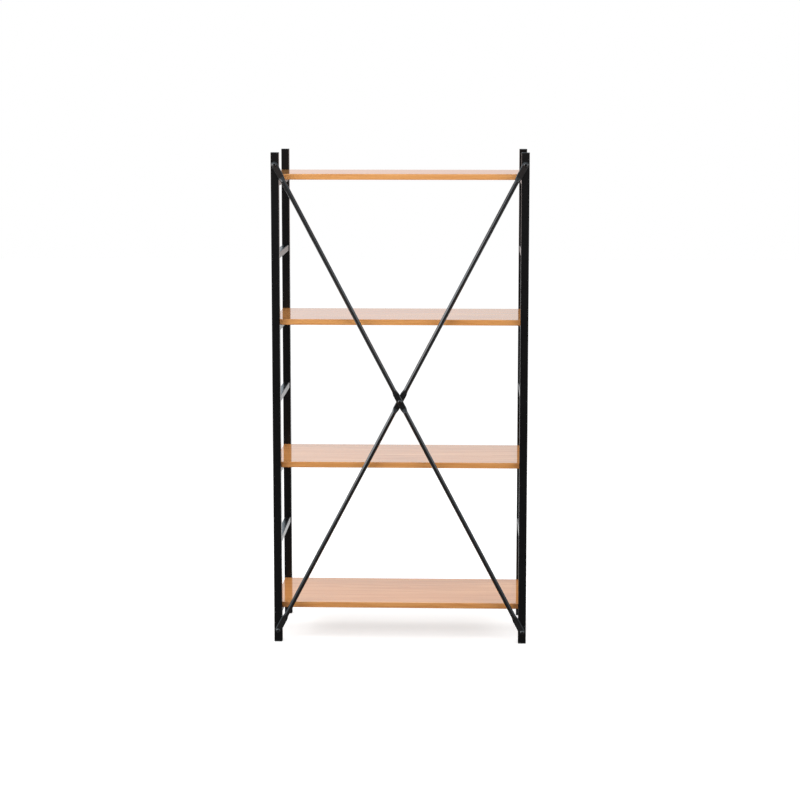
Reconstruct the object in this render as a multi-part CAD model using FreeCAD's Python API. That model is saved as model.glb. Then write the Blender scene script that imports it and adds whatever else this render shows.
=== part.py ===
# Shelving unit: two welded ladder frames of square tube, boards on their rungs and a crossed brace in front.
# Millimetres, +Z up, +X to the right seen from the front, +Y to the back.
# The origin is on the floor, under the middle of the unit's box.
import FreeCAD, Part
import math
import os

Vector = FreeCAD.Vector
X_AXIS = Vector(1, 0, 0)
Y_AXIS = Vector(0, 1, 0)
Z_AXIS = Vector(0, 0, 1)
ORIGIN = Vector(0, 0, 0)

# Overall sizes, over the posts
unit_width = 800.0
unit_depth = 400.0
unit_height = 1550.0

# Posts of square tube
post_size = 25.0
post_wall = 1.5
post_corner_radius = 2.5

# Rungs of square tube, welded between a front and a rear post
rung_width = 20.0
rung_height = 20.0
rung_wall = 1.5
rung_corner_radius = 2.0
lowest_rung_top = 106.0
highest_rung_drop = 85.0
rungs_per_bay = 2

# A tube's inner corner is rounder than a sharp one by this share of its outer radius
inner_corner_share = 0.4

# Shelf boards, each lying on a left and a right rung
board_names = ("bottom", "lower", "upper", "top")
board_thickness = 18.0
board_post_gap = 2.0
board_end_inset = 2.0
board_edge_radius = 1.5

# Wood screws, up through a rung into its board
screw_diameter = 4.5
screw_hole_clearance = 0.25
screw_bite = 12.0
screw_pilot_spare = 1.0
screw_rung_inset = 60.0
screw_head_diameter = 9.0
screw_head_height = 3.0
screw_cross_length = 4.6
screw_cross_width = 1.1
screw_cross_depth = 1.6
screw_point_length = 4.0

# Brace bars of round tube, pressed flat at both ends and in the middle
brace_tube_diameter = 14.5
brace_tube_wall = 1.2
brace_flat_thickness = 5.5
brace_end_margin = 38.0
brace_end_flat = 44.0
brace_middle_flat = 26.0
brace_press_length = 13.0

# Brace bolts with a domed head and a hexagon socket
bolt_diameter = 8.0
bolt_hole_clearance = 0.25
bolt_head_diameter = 14.0
bolt_head_height = 4.4
bolt_head_top_share = 0.56
bolt_head_dome_share = 0.86
bolt_socket_width = 5.0
bolt_socket_depth = 2.6
bolt_tip_chamfer = 0.8
bolt_thread_bite = 13.5
bolt_stand_out = 3.0

# Washer and lock nut behind the crossing
washer_diameter = 16.0
washer_thickness = 1.6
nut_width = 13.0
nut_hexagon_height = 6.4
nut_collar_diameter = 11.6
nut_collar_height = 1.8
nut_corner_chamfer = 0.7

# Threaded inserts set flush in the front posts
insert_diameter = 11.0
insert_head_diameter = 13.0
insert_length = 16.0
insert_collar_diameter = 13.6
insert_collar_length = 3.0

# Plugs that close the tube ends
cap_height = 2.5
foot_height = 5.0
plug_edge_radius = 1.0
plug_depth = 18.0
plug_wall = 2.0
plug_rib_count = 3
plug_rib_length = 2.0
plug_rib_stand_out = 0.6

# Room round a pin in its hole and round a plug in its tube
fit_gap = 0.1
# Length that a cutting shape runs past the faces it cuts
cut_overrun = 1.0
# Lengths closer than this count as the same
same_length = 0.001

# Places that follow from the sizes
brace_reach = brace_flat_thickness * 3 / 2 + bolt_head_height
front_face = (brace_reach - unit_depth) / 2
rear_face = front_face + unit_depth
post_x = (unit_width - post_size) / 2
front_post_y = front_face + post_size / 2
rear_post_y = rear_face - post_size / 2
rung_length = unit_depth - post_size * 2
rung_y = (front_face + rear_face) / 2
screw_y_offset = rung_length / 2 - screw_rung_inset
rung_count = (len(board_names) - 1) * rungs_per_bay + 1
rung_pitch = (unit_height - highest_rung_drop - lowest_rung_top) / (rung_count - 1)
brace_low_z = brace_end_margin
brace_high_z = unit_height - brace_end_margin
brace_middle_z = (brace_low_z + brace_high_z) / 2
brace_plane = front_face - brace_flat_thickness / 2


def rounded_prism(width, depth, length, radius):
    """Upright bar on the XY plane, centred on the Z axis, with its long edges rounded."""
    box = Part.makeBox(width, depth, length, Vector(-width / 2, -depth / 2, 0))
    upright = [edge for edge in box.Edges if edge.BoundBox.ZLength > length / 2]
    return box.makeFillet(radius, upright)


def rectangular_tube(width, depth, wall, length, radius):
    """Upright tube on the XY plane, open at both ends."""
    outside = rounded_prism(width, depth, length, radius)
    bore = rounded_prism(
        width - wall * 2, depth - wall * 2, length + cut_overrun * 2, radius * inner_corner_share
    )
    bore.translate(Vector(0, 0, -cut_overrun))
    return outside.cut(bore)


def hexagon_prism(width, height):
    """Hexagon of the given width across its flats, standing on the XY plane."""
    radius = width / math.sqrt(3)
    corners = [
        Vector(radius * math.cos(math.radians(angle)), radius * math.sin(math.radians(angle)), 0)
        for angle in range(0, 361, 60)
    ]
    return Part.Face(Part.makePolygon(corners)).extrude(Vector(0, 0, height))


def turned(profile):
    """Solid of revolution about the Z axis from edges in the XZ plane that start and end on the axis."""
    first = profile[0].Vertexes[0].Point
    last = profile[-1].Vertexes[-1].Point
    wire = Part.Wire(profile + [Part.makeLine(last, first)])
    return Part.Face(wire).revolve(ORIGIN, Z_AXIS, 360)


def turned_points(points):
    """Solid of revolution about the Z axis from radius and height pairs."""
    corners = [Vector(radius, 0, height) for radius, height in points]
    wire = Part.makePolygon(corners + corners[:1])
    return Part.Face(wire).revolve(ORIGIN, Z_AXIS, 360)


def placed(shape, x, y, z):
    """Copy of a shape, moved by the given distances."""
    copy = shape.copy()
    copy.translate(Vector(x, y, z))
    return copy


def facing_back(shape):
    """Copy of a shape whose +Z turns to +Y, about the origin."""
    copy = shape.copy()
    copy.rotate(ORIGIN, X_AXIS, -90)
    return copy


def rung_top(level):
    """Height of the top of a rung, counted from the lowest one."""
    return lowest_rung_top + rung_pitch * level


def board_bottom(shelf):
    """Height of the underside of a board, counted from the lowest one."""
    return rung_top(shelf * rungs_per_bay)


# Posts
def make_post():
    length = unit_height - foot_height - cap_height
    tube = rectangular_tube(post_size, post_size, post_wall, length, post_corner_radius)
    return placed(tube, 0, 0, foot_height)


def insert_seat():
    """Hole for an insert through a front wall, about the Z axis, with the wall's outer face at zero."""
    mouth = insert_head_diameter / 2 + fit_gap
    hole = insert_diameter / 2 + fit_gap
    return turned_points(
        [
            (0, -cut_overrun),
            (mouth, -cut_overrun),
            (mouth, 0),
            (hole, post_wall / 2),
            (hole, post_wall + cut_overrun),
            (0, post_wall + cut_overrun),
        ]
    )


def make_front_post():
    post = make_post()
    seat = facing_back(insert_seat())
    for z in (brace_low_z, brace_high_z):
        post = post.cut(placed(seat, 0, -post_size / 2, z))
    return post


# Plugs in the tube ends
def make_plug(height):
    """Flange below the XY plane that is as wide as the post, with a ribbed spigot above it."""
    bore = post_size - post_wall * 2 - fit_gap * 2
    bore_radius = post_corner_radius * inner_corner_share
    flange = rounded_prism(post_size, post_size, height, post_corner_radius)
    rim = [edge for edge in flange.Edges if edge.BoundBox.ZMax < same_length]
    flange = placed(flange.makeFillet(plug_edge_radius, rim), 0, 0, -height)
    core = bore - plug_rib_stand_out * 2
    spigot = rounded_prism(core, core, plug_depth, bore_radius)
    rib = rounded_prism(bore, bore, plug_rib_length, bore_radius)
    rib_step = plug_depth / (plug_rib_count + 1)
    for number in range(plug_rib_count):
        spigot = spigot.fuse(placed(rib, 0, 0, rib_step * (number + 1) - plug_rib_length / 2))
    hollow = core - plug_wall * 2
    cavity = rounded_prism(hollow, hollow, plug_depth, bore_radius)
    plug = flange.fuse(spigot).cut(placed(cavity, 0, 0, plug_wall))
    return plug.removeSplitter()


def make_top_cap():
    cap = make_plug(cap_height)
    cap.rotate(ORIGIN, X_AXIS, 180)
    return placed(cap, 0, 0, unit_height - cap_height)


def make_foot_plug():
    return placed(make_plug(foot_height), 0, 0, foot_height)


# Rungs
def make_rung():
    """Rung along Y, centred on the origin, drilled for two screws."""
    tube = rectangular_tube(rung_width, rung_height, rung_wall, rung_length, rung_corner_radius)
    rung = placed(facing_back(tube), 0, -rung_length / 2, 0)
    hole_radius = screw_diameter / 2 + screw_hole_clearance
    hole_length = rung_height + cut_overrun * 2
    for y in (-screw_y_offset, screw_y_offset):
        start = Vector(0, y, -hole_length / 2)
        rung = rung.cut(Part.makeCylinder(hole_radius, hole_length, start, Z_AXIS))
    return rung


# Shelf boards
def make_board():
    """Board on the XY plane, centred on the Z axis, with pilot holes in its underside."""
    length = unit_width - board_end_inset * 2
    depth = rung_length - board_post_gap * 2
    board = Part.makeBox(length, depth, board_thickness, Vector(-length / 2, -depth / 2, 0))
    board = board.makeFillet(board_edge_radius, board.Edges)
    pilot_radius = screw_diameter / 2 + fit_gap
    pilot_depth = screw_bite + screw_pilot_spare
    for x in (-post_x, post_x):
        for y in (-screw_y_offset, screw_y_offset):
            start = Vector(x, y, -cut_overrun)
            board = board.cut(Part.makeCylinder(pilot_radius, pilot_depth + cut_overrun, start, Z_AXIS))
    return board


# Wood screws
def make_screw():
    """Screw along +Z with the seat of its head on the XY plane."""
    length = rung_height + screw_bite
    head_radius = screw_head_diameter / 2
    ball_radius = (head_radius ** 2 + screw_head_height ** 2) / (screw_head_height * 2)
    half_angle = math.atan2(head_radius, ball_radius - screw_head_height) / 2
    crown = Part.Arc(
        Vector(0, 0, -screw_head_height),
        Vector(
            ball_radius * math.sin(half_angle),
            0,
            ball_radius - screw_head_height - ball_radius * math.cos(half_angle),
        ),
        Vector(head_radius, 0, 0),
    ).toShape()
    shank_radius = screw_diameter / 2
    outline = [
        Vector(head_radius, 0, 0),
        Vector(shank_radius, 0, 0),
        Vector(shank_radius, 0, length - screw_point_length),
        Vector(0, 0, length),
    ]
    edges = [Part.makeLine(start, end) for start, end in zip(outline, outline[1:])]
    screw = turned([crown] + edges)
    for length_x, length_y in (
        (screw_cross_length, screw_cross_width),
        (screw_cross_width, screw_cross_length),
    ):
        slot = Part.makeBox(length_x, length_y, screw_cross_depth + cut_overrun)
        screw = screw.cut(
            placed(slot, -length_x / 2, -length_y / 2, -screw_head_height - cut_overrun)
        )
    return screw


# Brace bars
def pressed_width(thickness):
    """Width of the tube once it is pressed to a thickness, because its girth stays the same."""
    return thickness + math.pi * (brace_tube_diameter - thickness) / 2


def flat_outline(x, y, width, thickness):
    """Outline across a pressed bar at x: two straight sides and two round edges."""
    radius = thickness / 2
    straight = width / 2 - radius
    front_low = Vector(x, y - radius, -straight)
    front_high = Vector(x, y - radius, straight)
    back_high = Vector(x, y + radius, straight)
    back_low = Vector(x, y + radius, -straight)
    return Part.Wire(
        [
            Part.makeLine(front_low, front_high),
            Part.Arc(front_high, Vector(x, y, straight + radius), back_high).toShape(),
            Part.makeLine(back_high, back_low),
            Part.Arc(back_low, Vector(x, y, -straight - radius), front_low).toShape(),
        ]
    )


def round_outline(x, y, diameter):
    """Outline across a round bar at x, cut at the same four places as a pressed one."""
    radius = diameter / 2
    corner = radius / math.sqrt(2)
    front_low = Vector(x, y - corner, -corner)
    front_high = Vector(x, y - corner, corner)
    back_high = Vector(x, y + corner, corner)
    back_low = Vector(x, y + corner, -corner)
    return Part.Wire(
        [
            Part.Arc(front_low, Vector(x, y - radius, 0), front_high).toShape(),
            Part.Arc(front_high, Vector(x, y, radius), back_high).toShape(),
            Part.Arc(back_high, Vector(x, y + radius, 0), back_low).toShape(),
            Part.Arc(back_low, Vector(x, y, -radius), front_low).toShape(),
        ]
    )


def round_tip(x, width, thickness, turn):
    """Rounded end of a flat about a bolt at x, swept half a turn from the flat's upper half."""
    radius = thickness / 2
    straight = width / 2 - radius
    front = Vector(x, -radius, 0)
    front_high = Vector(x, -radius, straight)
    back_high = Vector(x, radius, straight)
    back = Vector(x, radius, 0)
    half = Part.Wire(
        [
            Part.makeLine(front, front_high),
            Part.Arc(front_high, Vector(x, 0, straight + radius), back_high).toShape(),
            Part.makeLine(back_high, back),
            Part.makeLine(back, front),
        ]
    )
    return Part.Face(half).revolve(Vector(x, 0, 0), Y_AXIS, turn)


def pressed_bar(half_span, bow, inset):
    """Solid within a brace bar's skin, along X; its middle stands off its ends by the bow."""
    thickness = brace_flat_thickness - inset * 2
    width = pressed_width(brace_flat_thickness) - inset * 2
    diameter = brace_tube_diameter - inset * 2
    flat_end = half_span - brace_end_flat
    tube_end = flat_end - brace_press_length
    tube_start = brace_middle_flat + brace_press_length
    slope = bow / (flat_end - brace_middle_flat)
    tube_end_y = slope * (flat_end - tube_end)
    tube_start_y = slope * (flat_end - tube_start)
    outlines = [
        flat_outline(-half_span, 0, width, thickness),
        flat_outline(-flat_end, 0, width, thickness),
        round_outline(-tube_end, tube_end_y, diameter),
        round_outline(-tube_start, tube_start_y, diameter),
        flat_outline(-brace_middle_flat, bow, width, thickness),
        flat_outline(brace_middle_flat, bow, width, thickness),
        round_outline(tube_start, tube_start_y, diameter),
        round_outline(tube_end, tube_end_y, diameter),
        flat_outline(flat_end, 0, width, thickness),
        flat_outline(half_span, 0, width, thickness),
    ]
    bar = Part.makeLoft(outlines, True, True)
    bar = bar.fuse(round_tip(half_span, width, thickness, 180))
    return bar.fuse(round_tip(-half_span, width, thickness, -180))


def make_brace_bar(lean, bow):
    """Brace bar in its place; lean 1 runs from the upper left to the lower right, and -1 the other way."""
    span_x = post_x * 2
    span_z = brace_high_z - brace_low_z
    half_span = math.hypot(span_x, span_z) / 2
    bar = pressed_bar(half_span, bow, 0).cut(pressed_bar(half_span, bow, brace_tube_wall))
    hole_radius = bolt_diameter / 2 + bolt_hole_clearance
    hole_length = brace_tube_diameter * 2
    for x in (-half_span, 0, half_span):
        start = Vector(x, -hole_length / 2, 0)
        bar = bar.cut(Part.makeCylinder(hole_radius, hole_length, start, Y_AXIS))
    bar.rotate(ORIGIN, Y_AXIS, lean * math.degrees(math.atan2(span_z, span_x)))
    return placed(bar, 0, brace_plane, brace_middle_z)


# Brace fasteners
def make_bolt(length):
    """Bolt along +Z with the seat of its head on the XY plane."""
    head_radius = bolt_head_diameter / 2
    top_radius = head_radius * bolt_head_top_share
    dome_radius = head_radius * bolt_head_dome_share
    dome = Part.Arc(
        Vector(top_radius, 0, -bolt_head_height),
        Vector(dome_radius, 0, -bolt_head_height * bolt_head_top_share),
        Vector(head_radius, 0, 0),
    ).toShape()
    shank_radius = bolt_diameter / 2
    outline = [
        Vector(head_radius, 0, 0),
        Vector(shank_radius, 0, 0),
        Vector(shank_radius, 0, length - bolt_tip_chamfer),
        Vector(shank_radius - bolt_tip_chamfer, 0, length),
        Vector(0, 0, length),
    ]
    edges = [Part.makeLine(start, end) for start, end in zip(outline, outline[1:])]
    top = Part.makeLine(Vector(0, 0, -bolt_head_height), Vector(top_radius, 0, -bolt_head_height))
    bolt = turned([top, dome] + edges)
    socket = hexagon_prism(bolt_socket_width, bolt_socket_depth + cut_overrun)
    return bolt.cut(placed(socket, 0, 0, -bolt_head_height - cut_overrun))


def make_washer():
    hole_radius = bolt_diameter / 2 + bolt_hole_clearance
    disc = Part.makeCylinder(washer_diameter / 2, washer_thickness)
    return disc.cut(Part.makeCylinder(hole_radius, washer_thickness))


def make_lock_nut():
    """Hexagon on the XY plane with a round collar above it."""
    hexagon = hexagon_prism(nut_width, nut_hexagon_height)
    corner_radius = nut_width / math.sqrt(3)
    bevel = turned_points(
        [
            (0, 0),
            (corner_radius, 0),
            (corner_radius, nut_hexagon_height - nut_corner_chamfer),
            (nut_width / 2, nut_hexagon_height),
            (0, nut_hexagon_height),
        ]
    )
    collar = Part.makeCylinder(nut_collar_diameter / 2, nut_collar_height)
    nut = hexagon.common(bevel).fuse(placed(collar, 0, 0, nut_hexagon_height))
    bore = Part.makeCylinder(
        bolt_diameter / 2 + fit_gap, nut_hexagon_height + nut_collar_height + cut_overrun * 2
    )
    return nut.cut(placed(bore, 0, 0, -cut_overrun))


def make_insert():
    """Insert along +Z, flush with the wall's outer face at zero and gripping behind the wall."""
    bore = bolt_diameter / 2 + fit_gap
    neck = insert_diameter / 2
    collar = insert_collar_diameter / 2
    collar_start = post_wall + fit_gap
    return turned_points(
        [
            (bore, 0),
            (insert_head_diameter / 2, 0),
            (neck, post_wall / 2),
            (neck, collar_start),
            (collar, collar_start),
            (collar, collar_start + insert_collar_length),
            (neck, collar_start + insert_collar_length),
            (neck, insert_length),
            (bore, insert_length),
        ]
    )


def at_brace_corners(shape, y):
    """Group of four copies of a fastener, one at each end of the brace bars."""
    copies = []
    for x in (-post_x, post_x):
        for z in (brace_low_z, brace_high_z):
            copies.append(placed(facing_back(shape), x, y, z))
    return Part.makeCompound(copies)


# Nodes, by name
nodes = {}

for side, x in (("left", -post_x), ("right", post_x)):
    nodes[f"front_{side}_post"] = placed(make_front_post(), x, front_post_y, 0)
    nodes[f"rear_{side}_post"] = placed(make_post(), x, rear_post_y, 0)
    for row, y in (("front", front_post_y), ("rear", rear_post_y)):
        nodes[f"{row}_{side}_top_cap"] = placed(make_top_cap(), x, y, 0)
        nodes[f"{row}_{side}_foot_plug"] = placed(make_foot_plug(), x, y, 0)
    for level in range(rung_count):
        z = rung_top(level) - rung_height / 2
        nodes[f"{side}_rung_{level + 1}"] = placed(make_rung(), x, rung_y, z)

for shelf, name in enumerate(board_names):
    z = board_bottom(shelf)
    nodes[f"{name}_shelf_board"] = placed(make_board(), 0, rung_y, z)
    screws = []
    for x in (-post_x, post_x):
        for y in (rung_y - screw_y_offset, rung_y + screw_y_offset):
            screws.append(placed(make_screw(), x, y, z - rung_height))
    nodes[f"{name}_shelf_screws"] = Part.makeCompound(screws)

nodes["brace_bar_front"] = make_brace_bar(1, -brace_flat_thickness / 2)
nodes["brace_bar_rear"] = make_brace_bar(-1, brace_flat_thickness / 2)

corner_bolt = make_bolt(brace_flat_thickness + post_wall + bolt_thread_bite)
nodes["brace_corner_bolts"] = at_brace_corners(corner_bolt, front_face - brace_flat_thickness)
nodes["brace_corner_inserts"] = at_brace_corners(make_insert(), front_face)

crossing_front = brace_plane - brace_flat_thickness
crossing_back = brace_plane + brace_flat_thickness
nut_seat = crossing_back + washer_thickness
nut_height = nut_hexagon_height + nut_collar_height
centre_bolt = make_bolt(nut_seat + nut_height + bolt_stand_out - crossing_front)
nodes["brace_centre_bolt"] = placed(facing_back(centre_bolt), 0, crossing_front, brace_middle_z)
nodes["brace_centre_washer"] = placed(facing_back(make_washer()), 0, crossing_back, brace_middle_z)
nodes["brace_centre_lock_nut"] = placed(facing_back(make_lock_nut()), 0, nut_seat, brace_middle_z)

os.makedirs("parts", exist_ok=True)
for name, shape in nodes.items():
    shape.exportStep(f"parts/{name}.step")
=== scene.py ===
import math

import bmesh
import bpy
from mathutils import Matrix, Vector


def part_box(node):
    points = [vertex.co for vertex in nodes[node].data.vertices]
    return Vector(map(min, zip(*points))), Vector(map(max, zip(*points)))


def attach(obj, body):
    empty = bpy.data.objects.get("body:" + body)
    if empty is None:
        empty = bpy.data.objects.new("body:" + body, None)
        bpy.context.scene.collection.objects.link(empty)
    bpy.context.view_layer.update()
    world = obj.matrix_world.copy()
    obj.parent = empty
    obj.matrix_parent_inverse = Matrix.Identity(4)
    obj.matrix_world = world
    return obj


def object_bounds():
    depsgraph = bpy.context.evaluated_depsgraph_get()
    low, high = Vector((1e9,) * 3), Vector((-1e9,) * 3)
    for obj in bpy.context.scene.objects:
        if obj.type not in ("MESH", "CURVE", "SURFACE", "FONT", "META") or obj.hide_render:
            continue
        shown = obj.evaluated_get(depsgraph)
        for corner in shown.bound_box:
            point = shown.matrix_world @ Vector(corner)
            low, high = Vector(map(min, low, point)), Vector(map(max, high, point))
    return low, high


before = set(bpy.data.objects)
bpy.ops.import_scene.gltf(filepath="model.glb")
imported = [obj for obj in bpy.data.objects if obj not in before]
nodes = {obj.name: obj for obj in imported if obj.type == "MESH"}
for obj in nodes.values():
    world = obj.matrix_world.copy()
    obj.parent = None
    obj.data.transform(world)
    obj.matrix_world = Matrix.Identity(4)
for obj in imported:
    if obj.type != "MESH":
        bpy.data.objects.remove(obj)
cad_low, cad_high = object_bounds()
scene = bpy.context.scene
scene.view_settings.view_transform = "Standard"

SIDES = ("left", "right")
ROWS = ("front", "rear")
BOARDS = ("bottom", "lower", "upper", "top")
RUNG_COUNT = 7

# Plain values: no stretch, the whole span from 0 to 1, and white
NO_STRETCH = (1.0, 1.0, 1.0)
WHOLE_SPAN = (0.0, 1.0)
WHITE = (1.0, 1.0, 1.0, 1.0)


# Shader helpers
def new_material(name):
    """Material with an empty node tree; returns the material and its tree."""
    material = bpy.data.materials.new(name)
    material.use_nodes = True
    material.node_tree.nodes.clear()
    return material, material.node_tree


def connect(tree, socket, value):
    """Gives an input socket a constant or another node's output."""
    if isinstance(value, bpy.types.NodeSocket):
        tree.links.new(value, socket)
    else:
        socket.default_value = value


def add(tree, kind, inputs=None, **settings):
    """Shader node with its settings, whose inputs are constants or other nodes' outputs."""
    made = tree.nodes.new("ShaderNode" + kind)
    for key, value in settings.items():
        setattr(made, key, value)
    for key, value in (inputs or {}).items():
        connect(tree, made.inputs[key], value)
    return made


def finish_material(tree, inputs):
    """Links a principled shader with the given inputs to the tree's output."""
    shader = add(tree, "BsdfPrincipled", inputs)
    add(tree, "OutputMaterial", {"Surface": shader.outputs["BSDF"]})


def stretched(tree, scale):
    """Coordinates of the object, stretched along its axes."""
    coordinates = add(tree, "TexCoord").outputs["Object"]
    return add(tree, "Mapping", {"Vector": coordinates, "Scale": scale}).outputs["Vector"]


def split(tree, vector):
    """Outputs X, Y and Z of a vector."""
    return add(tree, "SeparateXYZ", {"Vector": vector}).outputs


def noise(tree, scale, detail=2.0, roughness=0.5, distortion=0.0, stretch=NO_STRETCH):
    """Noise value over the object, stretched along its axes."""
    inputs = {
        "Vector": stretched(tree, stretch),
        "Scale": scale,
        "Detail": detail,
        "Roughness": roughness,
        "Distortion": distortion,
    }
    return add(tree, "TexNoise", inputs).outputs["Fac"]


def ranged(tree, value, low, high, span=WHOLE_SPAN):
    """Value mapped from a span to the range from low to high, and held at its ends."""
    inputs = {"Value": value, "From Min": span[0], "From Max": span[1], "To Min": low, "To Max": high}
    return add(tree, "MapRange", inputs).outputs["Result"]


def calculated(tree, operation, first, second=0.0):
    """Result of a sum, product or other rule on two values."""
    return add(tree, "Math", {0: first, 1: second}, operation=operation).outputs["Value"]


def moved(tree, operation, first, second):
    """Result of a rule on two vectors."""
    return add(tree, "VectorMath", {0: first, 1: second}, operation=operation).outputs["Vector"]


def length_of(tree, vector):
    """Length of a vector."""
    return add(tree, "VectorMath", {0: vector}, operation="LENGTH").outputs["Value"]


def mixed(tree, factor, first, second):
    """Colour between two others."""
    made = add(tree, "Mix", data_type="RGBA")
    sockets = {socket.identifier: socket for socket in made.inputs}
    for key, value in (("Factor_Float", factor), ("A_Color", first), ("B_Color", second)):
        connect(tree, sockets[key], value)
    return next(socket for socket in made.outputs if socket.identifier == "Result_Color")


def bumped(tree, height, strength, distance):
    """Normal that follows a height."""
    inputs = {"Height": height, "Strength": strength, "Distance": distance}
    return add(tree, "Bump", inputs).outputs["Normal"]


# Black stove enamel on the tubes
ENAMEL_DEEP = (0.0022, 0.0022, 0.0024, 1.0)
ENAMEL_HAZY = (0.004, 0.004, 0.0042, 1.0)
ENAMEL_SPECK = (0.009, 0.009, 0.0092, 1.0)
ENAMEL_SMUDGE_SCALE = 14.0
ENAMEL_SMUDGE_SPAN = (0.3, 0.7)
ENAMEL_SPECK_SCALE = 1500.0
ENAMEL_SPECK_SPAN = (0.58, 0.72)
ENAMEL_PEEL_SCALE = 650.0
ENAMEL_PEEL_STRENGTH = 0.16
ENAMEL_PEEL_HEIGHT = 0.0003

# Specular level, and the roughness of the smoothest and of the roughest places
FRAME_GLOSS = {"gloss": 0.3, "smoothest": 0.22, "roughest": 0.3}
BRACE_GLOSS = {"gloss": 0.9, "smoothest": 0.14, "roughest": 0.2}


def enamel_material(name, gloss, smoothest, roughest):
    """Enamel with smudges, fine specks and an orange-peel surface."""
    material, tree = new_material(name)
    smudge = noise(tree, ENAMEL_SMUDGE_SCALE, detail=4.0)
    peel = noise(tree, ENAMEL_PEEL_SCALE, detail=2.0)
    speck = noise(tree, ENAMEL_SPECK_SCALE, detail=1.0)
    colour = mixed(tree, smudge, ENAMEL_DEEP, ENAMEL_HAZY)
    colour = mixed(tree, ranged(tree, speck, 0.0, 1.0, ENAMEL_SPECK_SPAN), colour, ENAMEL_SPECK)
    finish_material(
        tree,
        {
            "Base Color": colour,
            "Roughness": ranged(tree, smudge, smoothest, roughest, ENAMEL_SMUDGE_SPAN),
            "Specular IOR Level": gloss,
            "Normal": bumped(tree, peel, ENAMEL_PEEL_STRENGTH, ENAMEL_PEEL_HEIGHT),
        },
    )
    return material


# Orange-brown wood under a high-gloss lacquer, with its grain along X
WOOD_LIGHT = (0.79, 0.41, 0.15, 1.0)
WOOD_PLAIN = (0.67, 0.305, 0.098, 1.0)
WOOD_DARK = (0.48, 0.172, 0.04, 1.0)
WOOD_RED = (0.52, 0.175, 0.045, 1.0)
# Painted shade that the posts cast on the ends of the board edges
WOOD_PAINTED_SHADE = (0.4, 0.115, 0.03, 1.0)
WOOD_FLECK = (0.34, 0.105, 0.026, 1.0)
WOOD_END = (0.17, 0.05, 0.014, 1.0)
WOOD_SMOOTHEST = 0.32
WOOD_ROUGHEST = 0.45

# Each board's log: how far its pith lies behind the board's middle and below it, and how red its wood is
LOGS = {
    "bottom": (0.06, 0.11, 0.22),
    "lower": (-0.03, 0.07, 0.08),
    "upper": (0.02, 0.09, 0.05),
    "top": (-0.07, 0.13, 0.0),
}

# Growth rings, which wander along the log
RINGS_PER_METRE = 150.0
RING_WANDER = (0.0, 0.06, 0.06)
RING_WANDER_STRETCH = (1.3, 5.0, 5.0)
RING_SHARE = 0.3
RING_SPAN = (0.35, 1.0)
MIDDLE_NOISE = (0.5, 0.5, 0.5)
ACROSS_GRAIN = (0.0, 1.0, 1.0)

# Patterns along the grain: how dense each is along X, Y and Z, and how much it colours at which values
PATTERN_SCALE = 1.0
BROAD_STRETCH = (1.6, 26.0, 60.0)
BROAD_SPAN = (0.32, 0.68)
STREAK_STRETCH = (4.0, 120.0, 220.0)
STREAK_SHARE = 0.5
STREAK_SPAN = (0.45, 0.72)
FIBRE_STRETCH = (30.0, 1400.0, 1400.0)
FIBRE_SHARE = 0.2
FIBRE_SPAN = (0.4, 0.7)
FIBRE_STRENGTH = 0.1
FIBRE_HEIGHT = 0.0002
FLECK_STRETCH = (260.0, 2200.0, 2200.0)
FLECK_SHARE = 0.5
FLECK_SPAN = (0.64, 0.74)

# Painted shade of the posts on the edges, towards the ends of a board, and what is left of it on the flat
# faces
PAINTED_SHADE_LENGTH = 0.05
PAINTED_SHADE_SHARE = 0.6
PAINTED_SHADE_FLAT_SHARE = 0.1

# End grain
END_FACING_SPAN = (0.6, 0.9)
END_RING_SHARE = 0.6
END_RING_SPAN = (0.45, 1.0)
END_PORE_SHARE = 0.7
END_PORE_SPAN = (0.5, 0.66)

# Lacquer
LACQUER_WEIGHT = 0.92
LACQUER_ROUGHNESS = 0.03
LACQUER_IOR = 1.5
LACQUER_WAVE_SCALE = 22.0
LACQUER_WAVE_STRENGTH = 0.02
LACQUER_WAVE_HEIGHT = 0.0005


def ring_value(tree, pith):
    """Growth rings round a pith that runs along X; the value rises from 0 to 1 across each ring."""
    inputs = {"Vector": stretched(tree, RING_WANDER_STRETCH), "Scale": PATTERN_SCALE, "Detail": 2.0}
    wander = add(tree, "TexNoise", inputs).outputs["Color"]
    wander = moved(tree, "MULTIPLY", moved(tree, "SUBTRACT", wander, MIDDLE_NOISE), RING_WANDER)
    place = moved(tree, "ADD", stretched(tree, NO_STRETCH), wander)
    across = moved(tree, "MULTIPLY", moved(tree, "SUBTRACT", place, pith), ACROSS_GRAIN)
    rings = calculated(tree, "MULTIPLY", length_of(tree, across), RINGS_PER_METRE)
    return calculated(tree, "FRACT", rings)


def painted_shade_share(tree, facing, end):
    """Share of the painted shade of the posts, which grows towards both ends of the board and hardly shows
    on flat faces.
    """
    distance = calculated(tree, "ABSOLUTE", split(tree, stretched(tree, NO_STRETCH))["X"])
    near_end = ranged(tree, distance, 0.0, PAINTED_SHADE_SHARE, (end - PAINTED_SHADE_LENGTH, end))
    upright = ranged(tree, calculated(tree, "ABSOLUTE", facing["Z"]), 1.0, PAINTED_SHADE_FLAT_SHARE)
    return calculated(tree, "MULTIPLY", upright, near_end)


def end_grain_share(tree, facing, ring, fibre):
    """Share of the dark rings and pores on the faces that cut the grain."""
    end = ranged(tree, calculated(tree, "ABSOLUTE", facing["X"]), 0.0, 1.0, END_FACING_SPAN)
    growth = calculated(tree, "MULTIPLY", end, ranged(tree, ring, 0.0, END_RING_SHARE, END_RING_SPAN))
    pore = calculated(tree, "MULTIPLY", end, ranged(tree, fibre, 0.0, END_PORE_SHARE, END_PORE_SPAN))
    return calculated(tree, "MAXIMUM", growth, pore)


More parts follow.
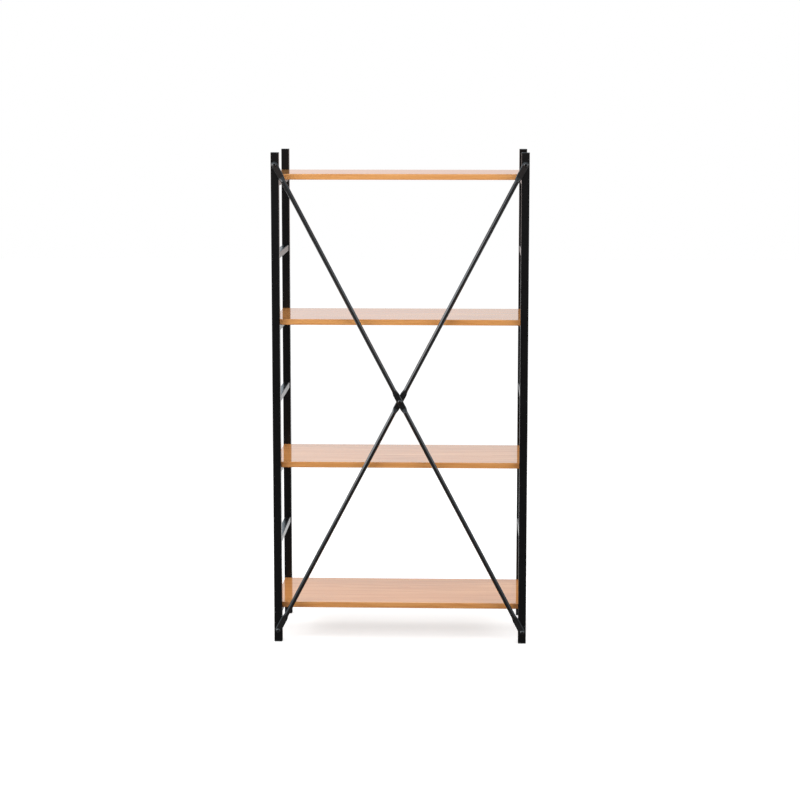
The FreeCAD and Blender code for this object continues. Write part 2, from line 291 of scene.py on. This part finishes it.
def wood_material(board, pith_behind, pith_below, redness):
    """Wood of one board, cut from a log whose pith runs behind and below the board's middle."""
    low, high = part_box(f"{board}_shelf_board")
    middle = (low + high) / 2
    material, tree = new_material(f"lacquered_wood_{board}")
    facing = split(tree, add(tree, "NewGeometry").outputs["Normal"])
    ring = ring_value(tree, (0.0, middle.y + pith_behind, middle.z - pith_below))
    broad = noise(tree, PATTERN_SCALE, detail=3.0, distortion=0.6, stretch=BROAD_STRETCH)
    streak = noise(tree, PATTERN_SCALE, detail=5.0, roughness=0.6, stretch=STREAK_STRETCH)
    fibre = noise(tree, PATTERN_SCALE, detail=3.0, stretch=FIBRE_STRETCH)
    fleck = noise(tree, PATTERN_SCALE, detail=1.0, stretch=FLECK_STRETCH)
    wave = noise(tree, LACQUER_WAVE_SCALE, detail=1.0)
    colour = mixed(tree, ranged(tree, broad, 0.0, 1.0, BROAD_SPAN), WOOD_LIGHT, WOOD_PLAIN)
    colour = mixed(tree, redness, colour, WOOD_RED)
    # Painted shade: the edges darken towards both ends of the board, where the posts stand in front of them
    colour = mixed(tree, painted_shade_share(tree, facing, high.x), colour, WOOD_PAINTED_SHADE)
    colour = mixed(tree, ranged(tree, ring, 0.0, RING_SHARE, RING_SPAN), colour, WOOD_DARK)
    colour = mixed(tree, ranged(tree, streak, 0.0, STREAK_SHARE, STREAK_SPAN), colour, WOOD_DARK)
    colour = mixed(tree, ranged(tree, fibre, 0.0, FIBRE_SHARE, FIBRE_SPAN), colour, WOOD_DARK)
    colour = mixed(tree, ranged(tree, fleck, 0.0, FLECK_SHARE, FLECK_SPAN), colour, WOOD_FLECK)
    colour = mixed(tree, end_grain_share(tree, facing, ring, fibre), colour, WOOD_END)
    finish_material(
        tree,
        {
            "Base Color": colour,
            "Roughness": ranged(tree, streak, WOOD_SMOOTHEST, WOOD_ROUGHEST),
            "Specular IOR Level": 0.0,
            "Normal": bumped(tree, fibre, FIBRE_STRENGTH, FIBRE_HEIGHT),
            "Coat Weight": LACQUER_WEIGHT,
            "Coat Roughness": LACQUER_ROUGHNESS,
            "Coat IOR": LACQUER_IOR,
            "Coat Normal": bumped(tree, wave, LACQUER_WAVE_STRENGTH, LACQUER_WAVE_HEIGHT),
        },
    )
    return material


# Black oxide on the brace bolts, with painted shade darkening their sockets
OXIDE_DARK = (0.07, 0.07, 0.073, 1.0)
OXIDE_PALE = (0.15, 0.147, 0.144, 1.0)
OXIDE_PAINTED_SHADE = (0.004, 0.004, 0.004, 1.0)
OXIDE_CLOUD_SCALE = 160.0
OXIDE_SMOOTHEST = 0.24
OXIDE_ROUGHEST = 0.4
OXIDE_GRAIN_SCALE = 2600.0
OXIDE_GRAIN_STRENGTH = 0.1
OXIDE_GRAIN_HEIGHT = 0.00005
OXIDE_PAINTED_SHADE_REACH = 0.004
OXIDE_PAINTED_SHADE_SPAN = (0.55, 0.95)


def black_oxide_material():
    """Clouded dark steel with a fine grain."""
    material, tree = new_material("black_oxide")
    cloud = noise(tree, OXIDE_CLOUD_SCALE, detail=4.0)
    grain = noise(tree, OXIDE_GRAIN_SCALE, detail=2.0)
    # Painted shade: the base colour goes nearly black in the sockets and other closed-in hollows
    unshaded_share = add(tree, "AmbientOcclusion", {"Distance": OXIDE_PAINTED_SHADE_REACH}).outputs["AO"]
    unshaded_share = ranged(tree, unshaded_share, 0.0, 1.0, OXIDE_PAINTED_SHADE_SPAN)
    colour = mixed(tree, cloud, OXIDE_DARK, OXIDE_PALE)
    finish_material(
        tree,
        {
            "Base Color": mixed(tree, unshaded_share, OXIDE_PAINTED_SHADE, colour),
            "Metallic": 1.0,
            "Roughness": ranged(tree, cloud, OXIDE_SMOOTHEST, OXIDE_ROUGHEST),
            "Normal": bumped(tree, grain, OXIDE_GRAIN_STRENGTH, OXIDE_GRAIN_HEIGHT),
        },
    )
    return material


# Zinc plating on the small steel parts
ZINC_COOL = (0.55, 0.56, 0.58, 1.0)
ZINC_WARM = (0.68, 0.67, 0.63, 1.0)
ZINC_SPANGLE_SCALE = 900.0
ZINC_SPANGLE_SHARE = 0.08
ZINC_CLOUD_SCALE = 240.0
ZINC_CLOUD_STRENGTH = 0.08
ZINC_CLOUD_HEIGHT = 0.0001
ZINC_SMOOTHEST = 0.22
ZINC_ROUGHEST = 0.42


def zinc_material():
    """Clouded plating with faint crystals."""
    material, tree = new_material("zinc_plate")
    inputs = {"Vector": stretched(tree, NO_STRETCH), "Scale": ZINC_SPANGLE_SCALE}
    spangle = add(tree, "TexVoronoi", inputs).outputs["Color"]
    cloud = noise(tree, ZINC_CLOUD_SCALE, detail=4.0)
    tint = mixed(tree, cloud, ZINC_COOL, ZINC_WARM)
    finish_material(
        tree,
        {
            "Base Color": mixed(tree, ZINC_SPANGLE_SHARE, tint, spangle),
            "Metallic": 1.0,
            "Roughness": ranged(tree, cloud, ZINC_SMOOTHEST, ZINC_ROUGHEST),
            "Normal": bumped(tree, cloud, ZINC_CLOUD_STRENGTH, ZINC_CLOUD_HEIGHT),
        },
    )
    return material


# Moulded black plastic of the caps and feet
PLASTIC_DARK = (0.007, 0.007, 0.007, 1.0)
PLASTIC_PALE = (0.016, 0.016, 0.016, 1.0)
PLASTIC_SCUFF_SCALE = 60.0
PLASTIC_SCUFF_SPAN = (0.3, 0.7)
PLASTIC_SMOOTHEST = 0.42
PLASTIC_ROUGHEST = 0.6
PLASTIC_SPECULAR = 0.35
PLASTIC_GRAIN_SCALE = 1800.0
PLASTIC_GRAIN_STRENGTH = 0.25
PLASTIC_GRAIN_HEIGHT = 0.0001


def plastic_material():
    """Scuffed plastic with a fine grain."""
    material, tree = new_material("moulded_plastic")
    grain = noise(tree, PLASTIC_GRAIN_SCALE, detail=2.0)
    scuff = noise(tree, PLASTIC_SCUFF_SCALE, detail=5.0, roughness=0.65)
    finish_material(
        tree,
        {
            "Base Color": mixed(tree, scuff, PLASTIC_DARK, PLASTIC_PALE),
            "Roughness": ranged(tree, scuff, PLASTIC_SMOOTHEST, PLASTIC_ROUGHEST, PLASTIC_SCUFF_SPAN),
            "Specular IOR Level": PLASTIC_SPECULAR,
            "Normal": bumped(tree, grain, PLASTIC_GRAIN_STRENGTH, PLASTIC_GRAIN_HEIGHT),
        },
    )
    return material


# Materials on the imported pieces
def paint(node, material):
    """Gives a CAD node's object one material."""
    mesh = nodes[node].data
    mesh.materials.clear()
    mesh.materials.append(material)


enamel = enamel_material("frame_enamel", **FRAME_GLOSS)
bar_enamel = enamel_material("brace_enamel", **BRACE_GLOSS)
black_oxide = black_oxide_material()
zinc = zinc_material()
plastic = plastic_material()

for side in SIDES:
    for row in ROWS:
        paint(f"{row}_{side}_post", enamel)
        paint(f"{row}_{side}_top_cap", plastic)
        paint(f"{row}_{side}_foot_plug", plastic)
    for number in range(RUNG_COUNT):
        paint(f"{side}_rung_{number + 1}", enamel)
for name in ("brace_bar_front", "brace_bar_rear"):
    paint(name, bar_enamel)
for name in ("brace_centre_bolt", "brace_corner_bolts"):
    paint(name, black_oxide)
for name in ("brace_centre_washer", "brace_centre_lock_nut", "brace_corner_inserts"):
    paint(name, zinc)
for board in BOARDS:
    paint(f"{board}_shelf_board", wood_material(board, *LOGS[board]))
    paint(f"{board}_shelf_screws", zinc)


# Weld seams round the rung ends, along both sides and the underside of each
WELD_LEG = 0.0022
WELD_LENGTHWISE_LEG = 0.0028
WELD_ROOT = 0.0015
WELD_RIPPLE_PITCH = 0.0024
WELD_RIPPLE_SHARE = 0.09
WELD_RIPPLE_BOW = 0.35
WELD_RIPPLE_STEPS = 6
WELD_SECTION_STEPS = 6
WELD_TAPER = 0.0025
WELD_END_SHARE = 0.35
RUNG_CORNER = 0.002


def seam_lengths(half_width, half_height):
    """Lengths of one side, of one corner and of the whole seam round a rung."""
    side = 2 * (half_height - RUNG_CORNER)
    turn = RUNG_CORNER * math.pi / 2
    return side, turn, 2 * (side + turn + half_width - RUNG_CORNER)


def seam_point(distance, half_width, half_height):
    """Point on the rung's outline and its outward direction, as (x, z, x, z)."""
    side, turn, length = seam_lengths(half_width, half_height)
    if distance > length / 2:
        x, z, out_x, out_z = seam_point(length - distance, half_width, half_height)
        return -x, z, -out_x, out_z
    if distance < side:
        return half_width, half_height - RUNG_CORNER - distance, 1.0, 0.0
    angle = min((distance - side) / RUNG_CORNER, math.pi / 2)
    out_x = math.cos(angle)
    out_z = -math.sin(angle)
    along = max(distance - side - turn, 0.0)
    x = half_width - RUNG_CORNER + RUNG_CORNER * out_x - along
    z = RUNG_CORNER - half_height + RUNG_CORNER * out_z
    return x, z, out_x, out_z


def seam_section(distance, length):
    """Outline across the bead, as distances out from the rung and along it, tapered at the seam's ends."""
    from_end = min(distance, length - distance)
    swell = WELD_END_SHARE + (1 - WELD_END_SHARE) * min(from_end / WELD_TAPER, 1.0)
    section = [(-WELD_ROOT, -WELD_ROOT), (WELD_LEG * swell, -WELD_ROOT)]
    for step in range(WELD_SECTION_STEPS + 1):
        angle = math.pi / 2 * step / WELD_SECTION_STEPS
        phase = distance / WELD_RIPPLE_PITCH + WELD_RIPPLE_BOW * math.sin(2 * angle)
        ripple = 1 + WELD_RIPPLE_SHARE * math.cos(2 * math.pi * phase)
        bulge = swell * ripple / math.sqrt(math.cos(angle) + math.sin(angle))
        out = WELD_LEG * bulge * math.cos(angle)
        lengthwise = WELD_LENGTHWISE_LEG * bulge * math.sin(angle)
        section.append((out, lengthwise))
    return section


def add_seam(mesh, centre, half_width, half_height, inward):
    """Rippled weld bead round one rung end; inward is 1 where the rung runs towards +Y and -1 for -Y."""
    length = seam_lengths(half_width, half_height)[-1]
    count = round(length / WELD_RIPPLE_PITCH) * WELD_RIPPLE_STEPS
    rings = []
    for index in range(count + 1):
        distance = length * index / count
        x, z, out_x, out_z = seam_point(distance, half_width, half_height)
        ring = []
        for out, lengthwise in seam_section(distance, length):
            place = (out * out_x + x, inward * lengthwise, out * out_z + z)
            ring.append(mesh.verts.new(centre + Vector(place)))
        rings.append(ring)
    corners = len(rings[0])
    for ring, following in zip(rings, rings[1:]):
        for corner in range(corners):
            other = (corner + 1) % corners
            face = mesh.faces.new((ring[corner], ring[other], following[other], following[corner]))
            face.smooth = True
    mesh.faces.new(rings[0])
    mesh.faces.new(reversed(rings[-1]))


def make_seams(side):
    """One piece with the weld seams of all rungs of one side frame."""
    mesh = bmesh.new()
    for number in range(RUNG_COUNT):
        low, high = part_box(f"{side}_rung_{number + 1}")
        middle = (low + high) / 2
        half = (high - low) / 2
        for y, inward in ((low.y, 1), (high.y, -1)):
            add_seam(mesh, Vector((middle.x, y, middle.z)), half.x, half.z, inward)
    bmesh.ops.recalc_face_normals(mesh, faces=mesh.faces)
    data = bpy.data.meshes.new(f"{side}_weld_seams")
    mesh.to_mesh(data)
    mesh.free()
    data.materials.append(enamel)
    seams = bpy.data.objects.new(f"{side}_weld_seams", data)
    scene.collection.objects.link(seams)
    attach(seams, "root")


for side in SIDES:
    make_seams(side)


# Floor: its tones, the light that it gives off near the unit and far away, and what counts as in front
FLOOR_SIZE = 30.0
FLOOR_DARK = (0.49, 0.49, 0.49, 1.0)
FLOOR_PALE = (0.52, 0.52, 0.52, 1.0)
FLOOR_DIM = (0.12, 0.12, 0.12, 1.0)
FLOOR_SPECK_SCALE = 40.0
FLOOR_ROUGHNESS = 0.8
FLOOR_SPECULAR = 0.1
FLOOR_NEAR_LIFT = 0.68
FLOOR_FAR_LIFT = 0.88
FLOOR_LIFT_SPAN = (1.0, 5.0)
FLOOR_BEHIND_SPAN = (0.0, 1.0)
FLOOR_ASIDE_SPAN = (1.0, 2.4)


def ray_kinds(tree):
    """1 for rays straight from the camera, and 1 for rays that come by a reflection or through glass."""
    path = add(tree, "LightPath").outputs
    mirrored = calculated(tree, "MAXIMUM", path["Is Glossy Ray"], path["Is Transmission Ray"])
    return path["Is Camera Ray"], mirrored


def make_floor():
    """Pale floor, white to the camera outside the shadows; reflections show it darker close in front."""
    bpy.ops.mesh.primitive_plane_add(size=FLOOR_SIZE, location=(0.0, 0.0, cad_low.z))
    floor = bpy.context.object
    floor.name = "studio_floor"
    material, tree = new_material("studio_floor")
    place = stretched(tree, NO_STRETCH)
    along = split(tree, place)
    behind = ranged(tree, along["Y"], 0.0, 1.0, FLOOR_BEHIND_SPAN)
    aside = ranged(tree, calculated(tree, "ABSOLUTE", along["X"]), 0.0, 1.0, FLOOR_ASIDE_SPAN)
    in_front = calculated(tree, "SUBTRACT", 1.0, calculated(tree, "MAXIMUM", behind, aside))
    seen, mirrored = ray_kinds(tree)
    shown = calculated(tree, "MAXIMUM", seen, calculated(tree, "MULTIPLY", mirrored, behind))
    dimmed = calculated(tree, "MULTIPLY", mirrored, in_front)
    lift = ranged(tree, length_of(tree, place), FLOOR_NEAR_LIFT, FLOOR_FAR_LIFT, FLOOR_LIFT_SPAN)
    pale = mixed(tree, noise(tree, FLOOR_SPECK_SCALE, detail=3.0), FLOOR_DARK, FLOOR_PALE)
    finish_material(
        tree,
        {
            "Base Color": mixed(tree, dimmed, pale, FLOOR_DIM),
            "Roughness": FLOOR_ROUGHNESS,
            "Specular IOR Level": FLOOR_SPECULAR,
            "Emission Color": WHITE,
            "Emission Strength": calculated(tree, "MULTIPLY", shown, lift),
        },
    )
    floor.data.materials.append(material)


# Surroundings: the light that they give, and the wall that reflections show, by the direction of the ray
ROOM_LIGHT = (0.3, 0.3, 0.3, 1.0)
WALL_LOW = (0.86, 0.72, 0.68, 1.0)
WALL_HIGH = (0.82, 0.96, 1.06, 1.0)
WALL_RISE_SPAN = (0.04, 0.14)
WALL_LEFT_SHARE = 1.25
WALL_RIGHT_SHARE = 0.8
WALL_ASIDE_SPAN = (-0.25, 0.25)
WALL_FRONT_SHARE = 0.4
WALL_FRONT_SPAN = (-0.95, -0.6)


def make_world():
    """White to the camera; to reflections a pale wall, dimmer in front; a soft light to other rays."""
    world = bpy.data.worlds.new("studio")
    scene.world = world
    world.use_nodes = True
    tree = world.node_tree
    tree.nodes.clear()
    towards = split(tree, add(tree, "TexCoord").outputs["Generated"])
    wall = mixed(tree, ranged(tree, towards["Z"], 0.0, 1.0, WALL_RISE_SPAN), WALL_LOW, WALL_HIGH)
    aside = ranged(tree, towards["X"], WALL_LEFT_SHARE, WALL_RIGHT_SHARE, WALL_ASIDE_SPAN)
    front = ranged(tree, towards["Y"], WALL_FRONT_SHARE, 1.0, WALL_FRONT_SPAN)
    brightness = calculated(tree, "MULTIPLY", aside, front)
    seen, mirrored = ray_kinds(tree)
    colour = mixed(tree, mirrored, ROOM_LIGHT, wall)
    colour = mixed(tree, seen, colour, WHITE)
    change = calculated(tree, "MULTIPLY", mirrored, calculated(tree, "SUBTRACT", brightness, 1.0))
    strength = calculated(tree, "ADD", change, 1.0)
    background = add(tree, "Background", {"Color": colour, "Strength": strength})
    add(tree, "OutputWorld", {"Surface": background.outputs["Background"]})


# Softboxes that light everything and don't show in reflections
ROOM_TARGET = (0.0, 0.0, 0.8)
ROOM_LAMPS = {
    "front_left_softbox": {"place": (-2.3, -2.2, 1.8), "width": 2.0, "height": 1.2, "power": 46.0},
    "front_right_softbox": {"place": (2.3, -2.2, 1.8), "width": 2.0, "height": 1.2, "power": 29.0},
    "rear_softbox": {"place": (0.0, 2.6, 2.3), "width": 1.6, "height": 1.0, "power": 48.0},
    "top_softbox": {"place": (0.0, -1.6, 3.0), "width": 1.6, "height": 1.0, "power": 27.0},
    "left_softbox": {"place": (-2.4, 0.3, 1.4), "width": 2.4, "height": 1.0, "power": 30.0},
    "right_softbox": {"place": (2.4, 0.3, 1.4), "width": 2.4, "height": 1.0, "power": 18.0},
}

# Softboxes that light only the brace and show in it, as the light stripes along its bars
BRACE_TARGET = (0.0, -0.2, 0.8)
BRACE_NODES = ("brace_bar_front", "brace_bar_rear", "brace_corner_bolts", "brace_centre_bolt")
BRACE_LAMPS = {
    "left_brace_softbox": {"place": (-2.1, -1.05, 1.62), "width": 3.2, "height": 1.3, "power": 36.0},
    "right_brace_softbox": {"place": (2.1, -1.05, 1.65), "width": 3.2, "height": 1.1, "power": 9.2},
}


def make_lamp(name, target, place, width, height, power, lit=None):
    """Softbox that faces a target; it shows in reflections only if it lights one group alone."""
    data = bpy.data.lights.new(name, "AREA")
    data.shape = "RECTANGLE"
    data.size = width
    data.size_y = height
    data.energy = power
    lamp = bpy.data.objects.new(name, data)
    lamp.visible_glossy = lit is not None
    lamp.light_linking.receiver_collection = lit
    lamp.location = place
    lamp.rotation_euler = (Vector(target) - Vector(place)).to_track_quat("-Z", "Y").to_euler()
    scene.collection.objects.link(lamp)


def make_lamps():
    """All softboxes, and the group of pieces that those of the brace light."""
    brace = bpy.data.collections.new("brace")
    for name in BRACE_NODES:
        brace.objects.link(nodes[name])
    for name, lamp in ROOM_LAMPS.items():
        make_lamp(name, ROOM_TARGET, **lamp)
    for name, lamp in BRACE_LAMPS.items():
        make_lamp(name, BRACE_TARGET, lit=brace, **lamp)


# Camera at the photograph's viewing angle; its lens and sensor are in millimetres and its angles in degrees
CAMERA_PLACE = (0.2419, -6.9844, 1.7617)
CAMERA_PITCH = 8.222
CAMERA_YAW = 2.036
CAMERA_LENS = 98.69
CAMERA_SENSOR = 36.0
CAMERA_CLIP_END = 100.0


def make_camera():
    """Camera that looks slightly down at the object."""
    data = bpy.data.cameras.new("camera")
    data.sensor_width = CAMERA_SENSOR
    data.lens = CAMERA_LENS
    data.clip_end = CAMERA_CLIP_END
    camera = bpy.data.objects.new("camera", data)
    camera.location = CAMERA_PLACE
    camera.rotation_euler = (math.pi / 2 - math.radians(CAMERA_PITCH), 0.0, math.radians(CAMERA_YAW))
    scene.collection.objects.link(camera)
    scene.camera = camera


make_floor()
make_world()
make_lamps()
make_camera()
